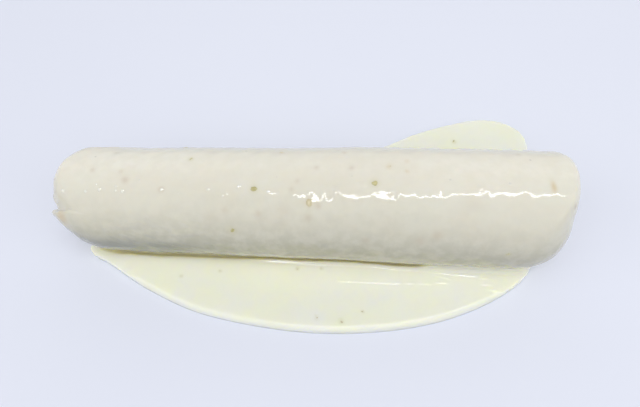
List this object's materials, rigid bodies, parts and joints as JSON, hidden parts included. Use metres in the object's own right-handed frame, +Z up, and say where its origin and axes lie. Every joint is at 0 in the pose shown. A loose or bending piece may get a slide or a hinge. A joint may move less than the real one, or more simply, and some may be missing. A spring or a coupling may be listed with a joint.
{
  "type": "sauce-covered burrito",
  "caption": "Long rolled flour-tortilla burrito with tucked ends, smothered in smooth white cheese sauce and lying in the pool of sauce that has run off it.",
  "frame": {"origin": "middle of the roll's flat foot, on the surface the burrito lies on", "axes": "+X along the roll towards its thicker end, +Y to the back where the last turn of tortilla ends, +Z up"},
  "size_m": [0.2617, 0.1416, 0.0538],
  "materials": {
    "tortilla": "soft matte flour tortilla, pale cream with light brown toast marks",
    "sauce": "glossy smooth white cheese sauce, slightly see-through where thin, with small green and tan chile flecks"
  },
  "bodies": {
    "root": {"tortilla_roll": "tortilla", "sauce_coat": "sauce", "sauce_pool": "sauce"}
  },
  "joints": []
}
